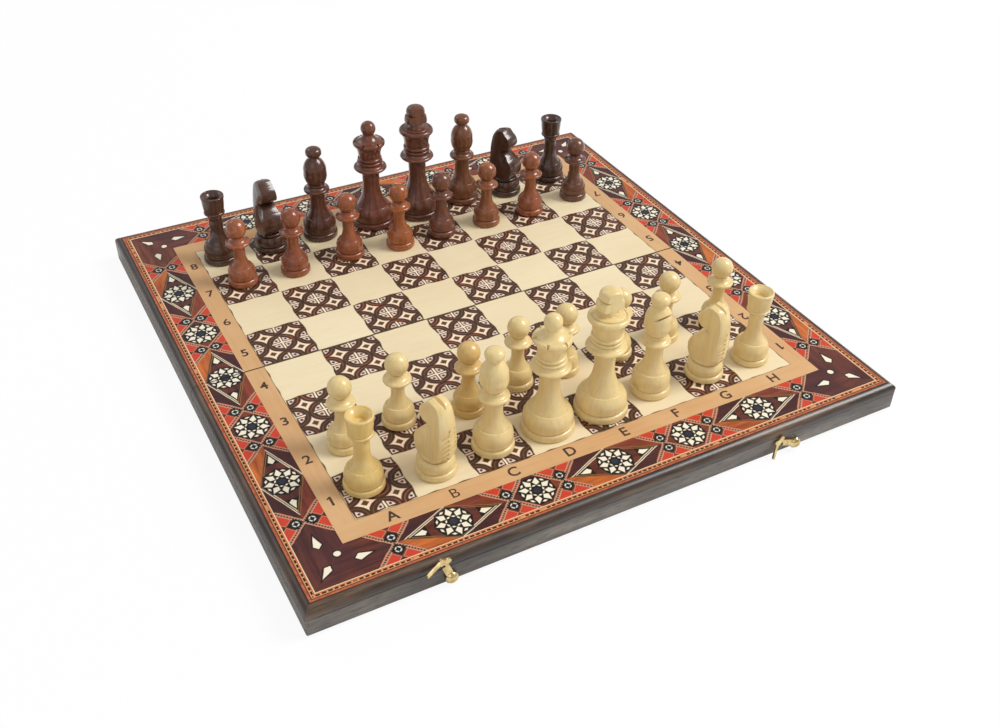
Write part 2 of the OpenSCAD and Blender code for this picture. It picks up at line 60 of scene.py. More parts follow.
def srgb(red, green, blue):
    """A colour written as 0 to 255 per channel, as the linear colour that a shader takes."""
    def linear(value):
        value /= 255
        return value / 12.92 if value <= 0.04045 else ((value + 0.055) / 1.055) ** 2.4
    return (linear(red), linear(green), linear(blue), 1.0)


class Wire:
    """One value in a material, on which arithmetic adds Math nodes."""

    def __init__(self, finish, socket):
        self.finish = finish
        self.socket = socket

    def math(self, operation, *others, clamp=False):
        settings = {"operation": operation, "use_clamp": clamp}
        return self.finish.node("ShaderNodeMath", settings, [self, *others])

    def __add__(self, other):
        return self.math("ADD", other)

    __radd__ = __add__

    def __sub__(self, other):
        return self.math("SUBTRACT", other)

    def __rsub__(self, other):
        return self.finish.node("ShaderNodeMath", {"operation": "SUBTRACT"}, [other, self])

    def __mul__(self, other):
        return self.math("MULTIPLY", other)

    __rmul__ = __mul__

    def __truediv__(self, other):
        return self.math("DIVIDE", other)

    def __abs__(self):
        return self.math("ABSOLUTE")

    def floor(self):
        return self.math("FLOOR")

    def sign(self):
        return self.math("SIGN")

    def fraction(self):
        return self.math("FRACT")

    def lesser(self, other):
        return self.math("MINIMUM", other)

    def greater(self, other):
        return self.math("MAXIMUM", other)

    def below(self, edge, soft):
        """1 where the value is under edge, 0 where it is over, with an edge that is soft wide."""
        return self.math("MULTIPLY_ADD", -1 / soft, edge / soft + 0.5, clamp=True)

    def above(self, edge, soft):
        """1 where the value is over edge, 0 where it is under."""
        return self.math("MULTIPLY_ADD", 1 / soft, 0.5 - edge / soft, clamp=True)

    def within(self, low, high, soft):
        """1 where the value lies between low and high."""
        return self.above(low, soft) * self.below(high, soft)


def length(x, y):
    return (x * x + y * y).math("SQRT")


class Finish:
    """A material under construction: its node tree, its shader and the place on the object."""

    def __init__(self, name, roughness=0.4, coat=0.0, coat_roughness=0.1, metallic=0.0, sheen=0.5):
        self.material = bpy.data.materials.new(name)
        self.material.use_nodes = True
        self.tree = self.material.node_tree
        self.shader = self.tree.nodes["Principled BSDF"]
        sockets = {
            "Roughness": roughness, "Coat Weight": coat, "Coat Roughness": coat_roughness,
            "Metallic": metallic, "Specular IOR Level": sheen,
        }
        for socket, value in sockets.items():
            self.shader.inputs[socket].default_value = value
        self.place = self.node("ShaderNodeTexCoord", {}, [], output="Object")

    def node(self, kind, settings, values, output=0):
        """A node of that kind: its settings first, then its input sockets by order or by name."""
        made = self.tree.nodes.new(kind)
        stops = settings.pop("stops", None)
        for setting, value in settings.items():
            setattr(made, setting, value)
        if stops:
            ramp = made.color_ramp
            while len(ramp.elements) < len(stops):
                ramp.elements.new(0.5)
            for element, (position, colour) in zip(ramp.elements, stops):
                element.position = position
                element.color = colour
        pairs = values.items() if isinstance(values, dict) else enumerate(values)
        for key, value in pairs:
            if isinstance(value, Wire):
                self.tree.links.new(value.socket, made.inputs[key])
            else:
                made.inputs[key].default_value = value
        return Wire(self, made.outputs[output])

    def axes(self):
        """The three coordinates of a point on the object, in metres."""
        return [self.node("ShaderNodeSeparateXYZ", {}, [self.place], output=i) for i in range(3)]

    def point(self, x, y, z):
        return self.node("ShaderNodeCombineXYZ", {}, [x, y, z])

    def noise(self, scale, detail=3.0, stretch=(1, 1, 1), roughness=0.5):
        """Soft random cloud from 0 to 1; a small stretch draws it out along that axis."""
        stretched = self.node("ShaderNodeVectorMath", {"operation": "MULTIPLY"}, [self.place, stretch])
        sockets = {"Vector": stretched, "Scale": scale, "Detail": detail, "Roughness": roughness}
        return self.node("ShaderNodeTexNoise", {}, sockets)

    def chance(self, place):
        """A random number that is the same all over each whole-numbered cell of place."""
        return self.node("ShaderNodeTexWhiteNoise", {}, {"Vector": place}, output="Value")

    def blend(self, mask, under, over):
        """The colour over where mask is 1, and under where it is 0."""
        sockets = {0: mask, 6: under, 7: over}
        return self.node("ShaderNodeMix", {"data_type": "RGBA"}, sockets, output=2)

    def ramp(self, value, *stops):
        """Colours that follow the value; each stop is a position and its colour."""
        return self.node("ShaderNodeValToRGB", {"stops": stops}, [value])

    def colour(self, wire):
        self.tree.links.new(wire.socket, self.shader.inputs["Base Color"])

    def rough(self, wire):
        self.tree.links.new(wire.socket, self.shader.inputs["Roughness"])

    def relief(self, height, depth):
        """Raised and sunk detail: height from 0 to 1 over depth metres."""
        sockets = {"Height": height, "Strength": 1.0, "Distance": depth}
        bump = self.node("ShaderNodeBump", {}, sockets)
        self.tree.links.new(bump.socket, self.shader.inputs["Normal"])


# ---------------------------------------- woods and metal


def turned_wood(name, pale, deep, streak, roughness, coat, figure):
    """Lacquered wood with upright grain; figure is how much the grain shows."""
    wood = Finish(name, roughness=roughness, coat=coat, coat_roughness=0.14, sheen=0.35)
    broad = wood.noise(70, 3, (1, 1, 0.3), 0.6)
    fine = wood.noise(420, 4, (1, 1, 0.06), 0.65)
    tone = wood.blend(broad.within(0.35, 0.7, 0.5), pale, deep)
    tone = wood.blend(fine.above(0.6, 0.3) * figure, tone, streak)
    wood.colour(tone)
    wood.rough(roughness + (fine - 0.5) * 0.12)
    wood.relief(fine, 0.00003)
    return wood.material


def boxwood(name, tone):
    """Pale wood with yellower streaks; tone is its colour in 0 to 255 per channel."""
    pale = srgb(*tone)
    deep = srgb(tone[0] - 12, tone[1] - 16, tone[2] - 30)
    streak = srgb(tone[0] - 30, tone[1] - 44, tone[2] - 66)
    return turned_wood(name, pale, deep, streak, 0.32, 0.45, 0.38)


STAIN_WARMTH = (1.2, 1.08, 0.94)         # how the lacquer shifts a stain's red, green and blue


def stained(name, tone):
    """Stained and lacquered wood with darker streaks; tone is its colour in 0 to 255 per channel."""
    tone = [part * warmth for part, warmth in zip(tone, STAIN_WARMTH)]
    pale = srgb(*tone)
    deep = srgb(*(part * 0.64 for part in tone))
    streak = srgb(*(part * 0.42 for part in tone))
    return turned_wood(name, pale, deep, streak, 0.26, 0.6, 0.6)


FACE_DROP = 6.5 * MM                     # from the top down to where a rail's plain face begins


def moulding_wood(name, lengthwise):
    """Dark wood with long wavy grain: brown on the rounded top, greyer on the face below."""
    wood = Finish(name, roughness=0.34, coat=0.5, coat_roughness=0.3, sheen=0.35)
    _, _, z = wood.axes()
    stretch = (0.12, 1, 1) if lengthwise == "x" else (1, 0.12, 1)
    wave = wood.noise(110, 3, stretch, 0.55)
    fine = wood.noise(900, 3, stretch, 0.6)
    face = z.below(TOP - FACE_DROP, 3 * MM)
    top = wood.ramp(wave, (0.36, srgb(38, 26, 18)), (0.5, srgb(66, 48, 34)), (0.66, srgb(104, 80, 58)))
    low = wood.ramp(wave, (0.36, srgb(76, 68, 61)), (0.5, srgb(102, 94, 85)), (0.66, srgb(128, 120, 110)))
    tone = wood.blend(face, top, low)
    tone = wood.blend(fine.above(0.56, 0.2) * 0.55, tone, srgb(30, 22, 18))
    wood.colour(tone)
    wood.rough(0.3 + wave * 0.16)
    wood.relief(fine * 0.6 + wave * 0.4, 0.00009)
    return wood.material


def carcass_wood():
    wood = Finish("plain carcass wood", roughness=0.62)
    rings = wood.noise(30, 4, (0.15, 1, 1), 0.6)
    fine = wood.noise(600, 3, (0.05, 1, 1), 0.6)
    tone = wood.ramp(rings, (0.3, srgb(214, 180, 128)), (0.7, srgb(186, 148, 98)))
    tone = wood.blend(fine.above(0.56, 0.2) * 0.5, tone, srgb(160, 122, 78))
    wood.colour(tone)
    wood.relief(fine, 0.0001)
    return wood.material


def latch_brass():
    brass = Finish("latch brass", roughness=0.28, metallic=1.0)
    cloud = brass.noise(300, 4, (1, 1, 1), 0.6)
    scratch = brass.noise(2200, 2, (1, 1, 0.1), 0.5)
    tone = brass.ramp(cloud, (0.35, srgb(236, 214, 158)), (0.7, srgb(190, 156, 98)))
    brass.colour(tone)
    brass.rough(0.1 + cloud * 0.14 + scratch * 0.05)
    brass.relief(scratch, 0.00002)
    return brass.material


# ---------------------------------------- playing field

CREAM = srgb(238, 222, 186)
BURNT = srgb(62, 36, 22)


SOFT = 0.016                             # width of a burnt edge, in squares


def fold_gap_shade(wood, y, tone, dark):
    """Painted shade along the fold, on the edges of the two halves beside the gap."""
    return wood.blend(abs(y).below(0.55 * MM, 0.4 * MM), tone, dark)


def burnt_area(pale_square, from_centre_x, from_centre_y):
    """Mask of the burnt squares, which bulge a little at each quarter and draw in between."""
    bulge_x = (from_centre_y * (4 * math.pi)).math("COSINE") * -0.012
    bulge_y = (from_centre_x * (4 * math.pi)).math("COSINE") * -0.012
    margin_x = 0.5 - from_centre_x
    margin_y = 0.5 - from_centre_y
    inside = (margin_x + bulge_x).lesser(margin_y + bulge_y).above(0.002, SOFT)
    spill = (bulge_x - margin_x).greater(bulge_y - margin_y).above(0.0, SOFT)
    return (1 - pale_square) * inside + pale_square * spill


def quarter_stars(wood, from_centre_x, from_centre_y):
    """Colour of a burnt square, with a star in each quarter, and the mask of its burnt lines."""
    margin_x = 0.5 - from_centre_x
    margin_y = 0.5 - from_centre_y
    # distances from the nearest corner of a quarter square
    a = 0.25 - abs(from_centre_x - 0.25)
    b = 0.25 - abs(from_centre_y - 0.25)
    ring = length(a, b)

    tint = wood.noise(46, 1)
    stripe = wood.blend(tint.above(0.56, 0.1), srgb(96, 64, 46), srgb(146, 76, 50))
    tone = wood.blend(ring.within(0.198, 0.222, SOFT), BURNT, stripe)
    star = ring.above(0.263, SOFT)
    tone = wood.blend(star, tone, srgb(246, 218, 190))
    heart = (0.25 - a + (0.25 - b)).below(0.066, SOFT)
    tone = wood.blend(heart, tone, srgb(88, 64, 30))
    cell = ring.below(0.152, SOFT) * a.above(0.036, SOFT) * b.above(0.036, SOFT)
    cell = cell * margin_x.above(0.036, SOFT) * margin_y.above(0.036, SOFT)
    tone = wood.blend(cell, tone, srgb(238, 208, 190))
    core = length(a - 0.083, b - 0.083).below(0.026, SOFT)
    tone = wood.blend(core, tone, srgb(60, 34, 34))
    bar = from_centre_x.lesser(from_centre_y).below(0.015, 0.01) * ring.below(0.175, SOFT)
    bar = bar * margin_x.lesser(margin_y).above(0.02, SOFT)
    return wood.blend(bar, tone, srgb(248, 230, 200)), (1 - star) * (1 - cell)


def field_veneer():
    """Cream squares, and squares burnt and tinted with a star in each quarter."""
    wood = Finish("playing field", roughness=0.36, coat=0.15, coat_roughness=0.2, sheen=0.25)
    x, y, _ = wood.axes()
    wobble_x = (wood.noise(160, 2) - 0.5) * 0.03
    wobble_y = (wood.noise(170, 2, (1, -1, 1)) - 0.5) * 0.03
    column = (x / SQUARE + SQUARES_OUT).floor()
    row = (y / SQUARE + SQUARES_OUT).floor()
    pale_square = (column + row).math("MODULO", 2.0)
    from_centre_x = abs(x / SQUARE + SQUARES_OUT + wobble_x - column - 0.5)
    from_centre_y = abs(y / SQUARE + SQUARES_OUT + wobble_y - row - 0.5)
    burnt = burnt_area(pale_square, from_centre_x, from_centre_y)
    stars, lines = quarter_stars(wood, from_centre_x, from_centre_y)

    fine = wood.noise(380, 4, (0.12, 1, 1), 0.6)
    broad = wood.noise(30, 3, (0.4, 1, 1))
    lot = wood.chance(wood.point(column, row, 0.0))
    plain = wood.blend(broad.above(0.5, 0.5) * 0.45 + lot * 0.35, CREAM, srgb(226, 206, 166))
    plain = wood.blend(fine.above(0.6, 0.3) * 0.16, plain, srgb(210, 186, 142))
    tone = wood.blend(burnt * (0.985 + fine * 0.01), plain, stars)
    # painted shade along the fold between the two halves
    wood.colour(fold_gap_shade(wood, y, tone, srgb(96, 82, 56)))
    groove = burnt * lines
    wood.rough(0.3 + groove * 0.12 + fine * 0.08)
    wood.relief(1 - groove * 0.8 + fine * 0.1, 0.00008)
    return wood.material


def band_veneer():
    """Plain strips round the field, with a thin dark line against it."""
    wood = Finish("coordinate band", roughness=0.38, coat=0.15, coat_roughness=0.2, sheen=0.25)
    x, y, _ = wood.axes()
    out = abs(x).greater(abs(y))
    lengthwise = abs(y).above(FIELD_HALF + 0.5 * MM, 0.2 * MM)
    along = wood.noise(300, 4, (0.08, 1, 1), 0.6)
    across = wood.noise(300, 4, (1, 0.08, 1), 0.6)
    grain = along * lengthwise + across * (1 - lengthwise)
    cloud = wood.noise(25, 3)
    tone = wood.blend(cloud.above(0.5, 0.5), srgb(216, 175, 128), srgb(205, 159, 110))
    tone = wood.blend(grain.above(0.58, 0.25) * 0.3, tone, srgb(192, 142, 92))
    inner = out.below(FIELD_HALF + 0.35 * MM, 0.3 * MM)
    tone = wood.blend(inner, tone, srgb(120, 84, 50))
    # painted shade along the fold between the two halves
    wood.colour(fold_gap_shade(wood, y, tone, srgb(96, 70, 44)))
    wood.rough(0.3 + grain * 0.12)
    wood.relief(grain, 0.00005)
    return wood.material


# ---------------------------------------- frieze and stringing

IVORY = srgb(240, 230, 206)
BLACK = srgb(24, 18, 18)
PLUM = srgb(84, 42, 38)
RED = srgb(204, 70, 48)
AMBER = srgb(204, 112, 52)
FRIEZE_MID = (BAND_OUT + FRIEZE_OUT) / 2 / SQUARE
FRIEZE_REACH = (FRIEZE_OUT - BAND_OUT) / 2 / SQUARE
ROSETTE_AT = 1.38        # along each side, in squares from the middle
CROSS_STEP = 0.46        # from a rosette to the crossings beside it
MEDALLION_AT = 2.765     # from the medallion in the middle of a side to the ones beside it
FAR_CROSS = 2.31         # from a rosette to the crossing beyond its medallion
CORNER_AT = ROSETTE_AT + FAR_CROSS + 0.06
EDGE = 0.012             # softness of a figure's edge, in squares


def kite(along, across, blunt, wide, tip, half_width):
    """Mask of a kite whose axis runs from blunt to tip, and of the dark line round it."""
    rise = half_width / abs(wide - blunt)
    fall = half_width / abs(tip - wide)
    room = ((along - blunt) * rise).lesser((tip - along) * fall) - across
    return room.above(0.0, EDGE), room.above(-0.024, EDGE)


def rosette(wood, tone, x, y, turned):
    """Eight ivory teeth and eight rim lozenges on a black disc, round a beaded blue-black heart."""
    r = length(x, y)
    eighth = math.pi / 8
    angle = y.math("ARCTAN2", x) + (eighth if turned else 0.0)
    tooth = angle.math("PINGPONG", eighth)
    gap = eighth - tooth
    tooth_x, tooth_y = r * tooth.math("COSINE"), r * tooth.math("SINE")
    gap_x, gap_y = r * gap.math("COSINE"), r * gap.math("SINE")
    tone = wood.blend(gap_x.below(0.284, EDGE), tone, BLACK)
    room = (tooth_x - 0.118).lesser((0.278 - tooth_x) * 0.52)
    teeth = (room - tooth_y).above(0.0, EDGE)
    lozenges = (abs(gap_x - 0.24) * 1.1 + gap_y * 0.55).below(0.023, EDGE)
    beads = (abs(gap_x - 0.104) * 1.3 + gap_y * 0.6).below(0.02, EDGE)
    tone = wood.blend(teeth.greater(lozenges).greater(beads), tone, IVORY)
    return wood.blend(r.below(0.058, EDGE), tone, srgb(40, 46, 60))


class FriezeWoods:
    """The woods that several figures of the frieze share, with the grain of their side."""

    def __init__(self, wood, on_end):
        grain_x = wood.noise(260, 4, (0.1, 1, 1), 0.65)
        grain_y = wood.noise(260, 4, (1, 0.1, 1), 0.65)
        self.wood = wood
        self.grain = on_end * grain_x + (1 - on_end) * grain_y
        self.plum = self.grained(0.5, 0.5, PLUM, srgb(52, 26, 32))
        self.amber = self.grained(0.52, 0.3, AMBER, srgb(146, 66, 34))
        self.russet = self.grained(0.5, 0.4, srgb(148, 70, 46), srgb(90, 40, 34))

    def grained(self, edge, soft, ground, streak):
        return self.wood.blend(self.grain.above(edge, soft), ground, streak)


def medallions(wood, woods, m, t):
    """Long lozenges with two pale and two brown edges, on quarters of three woods."""
    across, outer, lead = abs(t), t.above(0.0, 0.001), m.above(0.0, 0.001)
    outside = wood.blend(lead, woods.amber, woods.plum)
    inside = wood.blend(lead, woods.plum, woods.russet)
    tone = wood.blend(outer, inside, outside)
    far_m = abs(m)
    room = (1 - far_m / 0.76 - across / FRIEZE_REACH) * 0.303
    pale_edge = abs(lead - outer).below(0.5, 0.1)
    edge_tone = wood.blend(pale_edge, srgb(140, 96, 56), srgb(226, 210, 180))
    deep = woods.grained(0.5, 0.4, srgb(112, 56, 44), srgb(62, 32, 30))
    heart = wood.blend(far_m.above(0.41, EDGE), deep, BLACK)
    tone = wood.blend(room.above(0.0, EDGE), tone, heart)
    lines = abs(room + 0.004).below(0.008, 0.008).greater(abs(room - 0.026).below(0.008, 0.008))
    tone = wood.blend(lines, tone, edge_tone)
    ivory, rim = kite(far_m, across, 0.425, 0.475, 0.62, 0.056)
    tone = wood.blend(rim, tone, BLACK)
    tone = wood.blend(ivory, tone, IVORY)
    return rosette(wood, tone, m, t, False)


def crossings(wood, woods, c, t):
    """Fine ladders that cross between tinted diamonds, with a round eye on either side."""
    far_c, across = abs(c), abs(t)
    tone = wood.blend(wood.noise(30, 1).above(0.5, 0.3), woods.plum, woods.russet)
    diamond = abs(far_c - 0.175) + abs(across - 0.272)
    tone = wood.blend(diamond.below(0.17, EDGE), tone, srgb(196, 138, 104))
    fire = woods.grained(0.5, 0.6, RED, srgb(192, 58, 40))
    tone = wood.blend(diamond.below(0.155, EDGE), tone, fire)
    down, up = (c + t) * math.sqrt(0.5), (c - t) * math.sqrt(0.5)
    for over, run in ((abs(down), up), (abs(up), down)):
        rungs = (run * 22).fraction().below(0.5, 0.2)
        ladder = wood.blend(rungs, srgb(176, 122, 96), srgb(66, 40, 36))
        tone = wood.blend(over.below(0.032, EDGE), tone, srgb(200, 156, 124))
        tone = wood.blend(over.below(0.017, EDGE), tone, ladder)
    eye_y = across - 0.125
    tone = wood.blend((far_c + abs(eye_y)).below(0.118, EDGE), tone, BLACK)
    eye = length(c, eye_y)
    quarters = (far_c * abs(eye_y)).above(0.00035, 0.0004)
    return wood.blend(eye.within(0.034, 0.054, EDGE) * quarters, tone, srgb(222, 224, 212))


def corner_block(wood, woods, far_x, far_y, s, across):
    """Colour of a corner's cloudy wood, and the masks under and on its three kites and stud."""
    cloud = wood.noise(11, 3, (1, 1, 1), 0.6).above(0.52, 0.16)
    block = woods.grained(0.5, 0.4, srgb(92, 50, 46), srgb(58, 30, 34))
    lighter = woods.grained(0.5, 0.3, srgb(150, 82, 56), srgb(96, 44, 34))
    tone = wood.blend(cloud * 0.75, block, lighter)
    diagonal = (far_x + far_y - 2 * FRIEZE_MID) * math.sqrt(0.5)
    beside = abs(far_x - far_y) * math.sqrt(0.5)
    stud = length(far_x - FRIEZE_MID + 0.19, far_y - FRIEZE_MID + 0.19)
    ivory, rim = kite(FRIEZE_MID - s, across, 0.385, 0.45, 0.645, 0.064)
    ivory_2, rim_2 = kite(diagonal, beside, -0.03, 0.035, 0.225, 0.06)
    dark = rim.greater(rim_2).greater(stud.below(0.068, EDGE))
    pale = ivory.greater(ivory_2).greater(stud.below(0.05, EDGE))
    return tone, dark, pale


def frieze_veneer():
    """Inlay in the four-sided border: medallions, rosettes, crossings and corner blocks."""
    wood = Finish("inlaid frieze", roughness=0.34, coat=0.18, coat_roughness=0.15, sheen=0.22)
    x, y, _ = wood.axes()
    x = x / SQUARE + (wood.noise(150, 2) - 0.5) * 0.02
    y = y / SQUARE + (wood.noise(150, 2, (-1, 1, 1)) - 0.5) * 0.02
    far_x, far_y = abs(x), abs(y)
    on_end = (far_y - far_x).above(0.0, 0.001)
    side = on_end * (x * y.sign() * -1) + (1 - on_end) * (y * x.sign())
    s = abs(side)
    t = far_x.greater(far_y) - FRIEZE_MID
    across = abs(t)
    woods = FriezeWoods(wood, on_end)

    m = side - side.sign() * s.above(ROSETTE_AT, 0.001) * MEDALLION_AT
    tone = medallions(wood, woods, m, t)

    # between the medallions: crossings round a rosette
    q = abs(s - ROSETTE_AT)
    near = q.below(CROSS_STEP + 0.14, 0.001)
    c = q - CROSS_STEP - q.above(MEDALLION_AT / 2, 0.001) * (FAR_CROSS - CROSS_STEP)
    far_c = abs(c)
    crossing = crossings(wood, woods, c, t)
    crossing_here = far_c.below(0.36, EDGE) * (far_c - across).below(0.06, EDGE)
    tone = wood.blend(crossing_here.greater(near * q.below(CROSS_STEP, 0.001)), tone, crossing)
    n = s - ROSETTE_AT
    round_here = length(n, t).below(0.36, EDGE)
    tone = wood.blend(round_here, tone, rosette(wood, crossing, n, t, True))

    block, dark, pale = corner_block(wood, woods, far_x, far_y, s, across)
    corner = s - across - CORNER_AT
    tone = wood.blend(corner.above(0.0, EDGE), tone, BLACK)
    tone = wood.blend(corner.above(0.012, EDGE), tone, block)
    tone = wood.blend(dark, tone, BLACK)
    tone = wood.blend(pale, tone, IVORY)

    # painted shade along the fold, on the edges of the two halves beside the gap
    fold_edge_shade = abs(y).below(0.012, 0.01)
    wood.colour(wood.blend(fold_edge_shade, tone, srgb(40, 26, 24)))
    wood.rough(0.24 + woods.grain * 0.14)
    wood.relief(woods.grain, 0.00004)
    return wood.material


DASH_STEP = 3.4          # from one dash of the stringing to the next, in millimetres


def string_veneer():
    """Fine lines outside the frieze: a pale line, a dashed strip and a salmon strip."""
    wood = Finish("edge stringing", roughness=0.36, coat=0.15, coat_roughness=0.18, sheen=0.22)
    x, y, _ = wood.axes()
    on_end = (abs(y) - abs(x)).above(0.0, 0.0001)
    out = (abs(x).greater(abs(y)) - FRIEZE_OUT) / MM
    run = (on_end * x + (1 - on_end) * y) / MM
    grain = wood.noise(300, 4, (1, 1, 1), 0.6)
    tone = wood.blend(grain.above(0.5, 0.4), srgb(196, 112, 74), srgb(150, 72, 48))
    cell = (run / DASH_STEP).floor()
    lot = wood.chance(wood.point(cell, on_end, 0.0))
    dash = (run / DASH_STEP + lot * 0.12).fraction().below(0.7, 0.12) * lot.above(0.1, 0.01)
    strip = wood.blend(dash, srgb(212, 150, 96), srgb(44, 28, 24))
    # each line's outer edge, in millimetres from the frieze, and its colour
    lines = (
        (3.6, srgb(104, 44, 34)), (3.0, srgb(206, 148, 100)), (2.5, strip),
        (1.35, srgb(196, 110, 68)), (0.6, srgb(226, 202, 160)),
    )
    for edge, line_tone in lines:
        tone = wood.blend(out.below(edge, 0.15), tone, line_tone)
    tone = wood.blend(out.above(4.9, 0.2), tone, srgb(60, 36, 30))
    wood.colour(tone)
    wood.rough(0.3 + grain * 0.12)
    wood.relief(grain, 0.00003)
    return wood.material


# ---------------------------------------- finishes on the frame's nodes


def paint(node, material):
    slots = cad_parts[node].data.materials
    if len(slots):
        slots[0] = material
    else:
        slots.append(material)


TONES = {                # colours of the men's woods, 0 to 255 per channel
    "black_pawn_a": (166, 104, 72), "black_pawn_b": (150, 88, 60), "black_pawn_c": (160, 96, 62),
    "black_pawn_d": (170, 104, 58), "black_pawn_e": (120, 76, 60), "black_pawn_f": (150, 96, 62),
    "black_pawn_g": (158, 96, 62), "black_pawn_h": (112, 74, 58),
    "black_queen": (122, 74, 60), "black_king": (112, 72, 60), "black_bishop_f": (126, 82, 56),
    "black_bishop_c": (94, 60, 48), "black_rook_a": (82, 56, 46), "black_rook_h": (76, 54, 48),
    "black_knight_b": (84, 58, 48), "black_knight_g": (84, 60, 52),
    "white_rook_a": (232, 204, 142), "white_pawn_c": (222, 190, 132),
}
BOXWOOD = (236, 214, 164)                # of the white men that TONES leaves out


def finish_nodes():
    veneers = {
        "field": field_veneer(), "band": band_veneer(),
        "frieze": frieze_veneer(), "stringing": string_veneer(),
        "panel": carcass_wood(),
    }
    moulding, brass = moulding_wood("moulding wood", "x"), latch_brass()
    side_moulding = moulding_wood("side moulding wood", "y")
    for half, outer in (("white", "front"), ("black", "back")):
        for name, material in veneers.items():
            paint(f"{half}_{name}", material)
        paint(f"{half}_seam_rail", veneers["panel"])
        paint(f"{half}_{outer}_rail", moulding)
        paint(f"{half}_left_rail", side_moulding)
        paint(f"{half}_right_rail", side_moulding)
        paint(f"{half}_hinge_leaves", brass)
        paint(f"{half}_hinge_screws", brass)
    for node in ("hinge_pins", "latch_pivots", "left_hook", "right_hook", "catch_studs"):
        paint(node, brass)


# ---------------------------------------- tools for meshes


def select_only(piece):
    bpy.ops.object.select_all(action="DESELECT")
    bpy.context.view_layer.objects.active = piece
    piece.select_set(True)


def added(add, **settings):
    """What the adding operator makes, with nothing else selected."""
    bpy.ops.object.select_all(action="DESELECT")
    add(**settings)
    return bpy.context.object


def edit_all():
    """Edit mode on the active piece, with all of it selected."""
    bpy.ops.object.mode_set(mode="EDIT")
    bpy.ops.mesh.select_all(action="SELECT")


def boolean(piece, cutter, operation):
    """Cut, join or keep the overlap of two solids; the cutter goes."""
    select_only(piece)
    before = [tuple(corner.co) for corner in piece.data.vertices]
    modifier = piece.modifiers.new("cut", "BOOLEAN")
    modifier.operation = operation
    modifier.object = cutter
    modifier.solver = "MANIFOLD"
    bpy.ops.object.modifier_apply(modifier="cut")
    bpy.data.objects.remove(cutter, do_unlink=True)
    if [tuple(corner.co) for corner in piece.data.vertices] == before:
        raise RuntimeError(f"{operation} left {piece.name} as it was")


def clean(piece):
    """Merge corners that all but touch, and take out slivers."""
    select_only(piece)
    edit_all()
    bpy.ops.mesh.remove_doubles(threshold=0.002 * MM)
    bpy.ops.mesh.dissolve_degenerate(threshold=0.002 * MM)
    bpy.ops.object.mode_set(mode="OBJECT")


def slice_off(piece, place, outward):
    """Plane a flat on a solid, at that place and square to the direction outward."""
    select_only(piece)
    edit_all()
    bpy.ops.mesh.bisect(plane_co=Vector(place) * MM, plane_no=outward, use_fill=True, clear_outer=True)
    bpy.ops.object.mode_set(mode="OBJECT")


def wedge(start, end, width, depth, up):
    """A three-sided bar from start to end, its ridge pointing away from up; in millimetres."""
    start, end = Vector(start), Vector(end)
    along = (end - start).normalized()
    side = along.cross(Vector(up)).normalized()
    up = side.cross(along)
    bar = added(bpy.ops.mesh.primitive_cylinder_add, vertices=3, radius=1, depth=1)
    # the primitive's corners lie at 90, 210 and 330 degrees about its own Z
    edit_all()
    bpy.ops.transform.resize(value=(width / math.sqrt(3), depth / 1.5, (end - start).length))
    bpy.ops.object.mode_set(mode="OBJECT")
    axes = Matrix((side, -up, along)).transposed()
    bar.matrix_world = Matrix.Translation((start + end) / 2 * MM) @ (axes * MM).to_4x4()
    bpy.ops.object.transform_apply()
    return bar


def gather(pieces, name):
    """Several meshes joined into one."""
    select_only(pieces[0])
    for piece in pieces[1:]:
        piece.select_set(True)
    bpy.ops.object.join()
    pieces[0].name = name
    return pieces[0]


def smooth(piece, angle=34):
    """Smooth shading, except over edges that turn by more than angle degrees."""
    select_only(piece)
    bpy.ops.object.shade_smooth_by_angle(angle=math.radians(angle))


# ---------------------------------------- chessmen

SIDES = 72               # facets round a turned piece


def bowed(start, end, bow, steps):
    """Points after start, up to end, of an arc that stands out to the right by bow of its chord."""
    if abs(bow) < 0.001:
        return [end]
    chord = Vector(end) - Vector(start)
    right = Vector((chord.y, -chord.x))
    half = 2 * math.atan(2 * bow)
    reach = 0.5 / math.tan(half)
    centre = (Vector(start) + Vector(end)) / 2 - right * reach
    points = []
    for step in range(1, steps + 1):
        turn = Matrix.Rotation(2 * half * step / steps, 2)
        points.append(tuple(centre + turn @ (Vector(start) - centre)))
    return points


class Turning:
    """A closed solid that grows ring by ring from its foot, as on a lathe; in millimetres."""

    def __init__(self, name, radius, height=0.0):
        self.piece = added(
            bpy.ops.mesh.primitive_circle_add,
            vertices=SIDES, radius=radius * MM, fill_type="NGON", location=(0, 0, height * MM)
        )
        self.piece.name = name
        bpy.ops.object.transform_apply()
        edit_all()
        self.radius, self.height = radius, height

    def cut(self, radius, height):
        """A straight cut from the last ring to a ring of that radius at that height."""
        rise = (0, 0, (height - self.height) * MM)
        bpy.ops.mesh.extrude_region_move(TRANSFORM_OT_translate={"value": rise})
        grow = radius / self.radius
        bpy.ops.transform.resize(value=(grow, grow, 1))
        self.radius, self.height = radius, height

    def curve(self, radius, height, bow, steps=8):
        """A rounded cut: bow is how far it stands out of its chord, negative for a hollow."""
        for point in bowed((self.radius, self.height), (radius, height), bow, steps):
            self.cut(*point)

    def bead(self, radius, low, high):
        """A disc with a half-round edge."""
        quarter = (high - low) / 2
        self.cut(radius - quarter, low)
        self.curve(radius, low + quarter, 0.207, 5)
        self.curve(radius - quarter, high, 0.207, 5)

    def ball(self, radius, top, flat, steps):
        """A ball from the neck last cut up to its top, where the last flat radians stay level."""
        neck = math.asin(self.radius / radius)
        for step in range(1, steps + 1):
            turn = neck + (math.pi - flat - neck) * step / steps
            self.cut(radius * math.sin(turn), top - radius - radius * math.cos(turn))

    def off(self):
        """Take the finished solid off the lathe."""
        bpy.ops.mesh.select_all(action="SELECT")
        bpy.ops.mesh.normals_make_consistent(inside=False)
        bpy.ops.object.mode_set(mode="OBJECT")
        return self.piece


